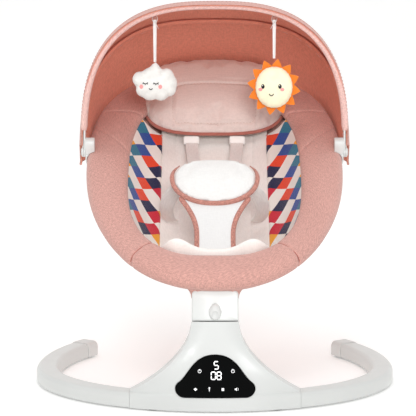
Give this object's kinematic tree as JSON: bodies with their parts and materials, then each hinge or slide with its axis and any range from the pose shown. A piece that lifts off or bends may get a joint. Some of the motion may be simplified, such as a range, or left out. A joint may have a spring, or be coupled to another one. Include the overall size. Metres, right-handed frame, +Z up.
{
  "type": "baby swing",
  "caption": "Powered baby swing: padded tilted bucket seat on a turning head, C-shaped floor base with touch panel, folding canopy, harness and two hanging toys.",
  "frame": {"origin": "under the middle of the whole object's box, on the floor", "axes": "+Z up, +Y towards the head end of the seat, +X towards the side with the sun toy"},
  "size_m": [0.5488, 0.635, 0.5787],
  "materials": {
    "white_shell": "satin",
    "white_trim": "satin",
    "panel_black": "polished",
    "rubber": "matte",
    "steel": "brushed",
    "ring_tube": "satin",
    "circuit_board": "matte",
    "rim_fabric": "heather weave",
    "lining_fabric": "plain weave",
    "liner_fabric": "brushed knit",
    "pillow_fabric": "brushed knit",
    "print_fabric": "printed knit",
    "pad_fabric": "brushed knit",
    "webbing": "narrow weave",
    "plush_white": "short plush",
    "plush_cream": "short plush",
    "felt_orange": "felt"
  },
  "bodies": {
    "base": {"base_front_housing": "white_shell", "base_rear_housing": "white_shell", "base_bottom_plate": "white_trim", "base_tube_left": "white_shell", "base_tube_right": "white_shell", "end_cap_left": "white_trim", "end_cap_right": "white_trim", "rubber_foot_front_left": "rubber", "rubber_foot_front_right": "rubber", "rubber_foot_rear_left": "rubber", "rubber_foot_rear_right": "rubber", "control_panel": "panel_black", "control_board": "circuit_board", "speaker": "rubber", "power_inlet": "rubber", "drive_motor": "steel", "drive_bracket": "steel", "upper_bearing": "steel", "lower_bearing": "steel"},
    "pinion": {"motor_pinion": "steel"},
    "head": {"head_front_cover": "white_shell", "head_rear_cover": "white_shell", "swing_shaft": "steel", "sector_gear": "white_trim", "recline_pin": "steel"},
    "latch": {"recline_latch": "white_shell"},
    "seat": {"seat_bracket": "white_trim", "seat_ring": "ring_tube", "rim_pad_foot": "rim_fabric", "rim_pad_left": "rim_fabric", "rim_pad_right": "rim_fabric", "rim_pad_head": "rim_fabric", "seat_sling": "rim_fabric", "seat_liner": "liner_fabric", "side_wing_left": "print_fabric", "side_wing_right": "print_fabric", "head_pillow": "pillow_fabric", "belly_pad": "pad_fabric", "crotch_pad": "pad_fabric", "shoulder_strap_left": "webbing", "shoulder_strap_right": "webbing", "waist_strap_left": "webbing", "waist_strap_right": "webbing", "harness_buckle": "white_trim", "canopy_clip_left": "white_trim", "canopy_clip_right": "white_trim", "canopy_pin_left": "white_trim", "canopy_pin_right": "white_trim", "canopy_rear_panel": "lining_fabric"},
    "buckle_button": {"buckle_button": "white_trim"},
    "canopy_mid": {"canopy_mid_bow": "white_trim", "canopy_front_panel": "lining_fabric"},
    "canopy_front": {"canopy_front_bow": "white_trim", "toy_loop_left": "lining_fabric", "toy_loop_right": "lining_fabric"},
    "toy_left": {"toy_cord_left": "webbing", "cloud_toy": "plush_white"},
    "toy_right": {"toy_cord_right": "webbing", "sun_toy": "plush_cream", "sun_rays": "felt_orange"}
  },
  "joints": [
    {"name": "swing", "type": "hinge", "parent": "base", "child": "head", "pos_m": [0, -0.24005, 0.1165], "axis": [0, 0.2588, 0.9659], "range_deg": [-12, 12]},
    {"name": "pinion_spin", "type": "hinge", "parent": "base", "child": "pinion", "pos_m": [0.039, -0.25519, 0.05999], "axis": [0, 0.2588, 0.9659], "range_deg": [-40.5, 40.5]},
    {"name": "recline", "type": "hinge", "parent": "head", "child": "seat", "pos_m": [0, -0.24004, 0.14997], "axis": [-1, 0, 0], "range_deg": [0, 12]},
    {"name": "recline_latch_slide", "type": "slide", "parent": "head", "child": "latch", "axis": [0, 0.2588, 0.9659], "range_m": [0, 0.006], "stiffness_N_per_m": 250, "springref_m": -0.002},
    {"name": "buckle_press", "type": "slide", "parent": "seat", "child": "buckle_button", "axis": [0, 0.7071, -0.7071], "range_m": [0, 0.003], "stiffness_N_per_m": 400, "springref_m": -0.001},
    {"name": "canopy_mid_fold", "type": "hinge", "parent": "seat", "child": "canopy_mid", "pos_m": [0, 0.05018, 0.33683], "axis": [-1, 0, 0], "range_deg": [0, 24], "deforming": ["canopy_rear_panel"]},
    {"name": "canopy_front_fold", "type": "hinge", "parent": "canopy_mid", "child": "canopy_front", "pos_m": [0, 0.05018, 0.33683], "axis": [-1, 0, 0], "range_deg": [0, 33], "deforming": ["canopy_front_panel"]},
    {"name": "toy_left_swing", "type": "hinge", "parent": "canopy_front", "child": "toy_left", "pos_m": [-0.094, 0.02395, 0.549], "axis": [-1, 0, 0], "range_deg": [-20, 20]},
    {"name": "toy_right_swing", "type": "hinge", "parent": "canopy_front", "child": "toy_right", "pos_m": [0.094, 0.02395, 0.549], "axis": [-1, 0, 0], "range_deg": [-20, 20]}
  ],
  "couplings": [
    {"joint": "pinion_spin", "follows": "swing", "ratio": -3.3333},
    {"joint": "canopy_mid_fold", "follows": "canopy_front_fold", "ratio": 0.72}
  ]
}
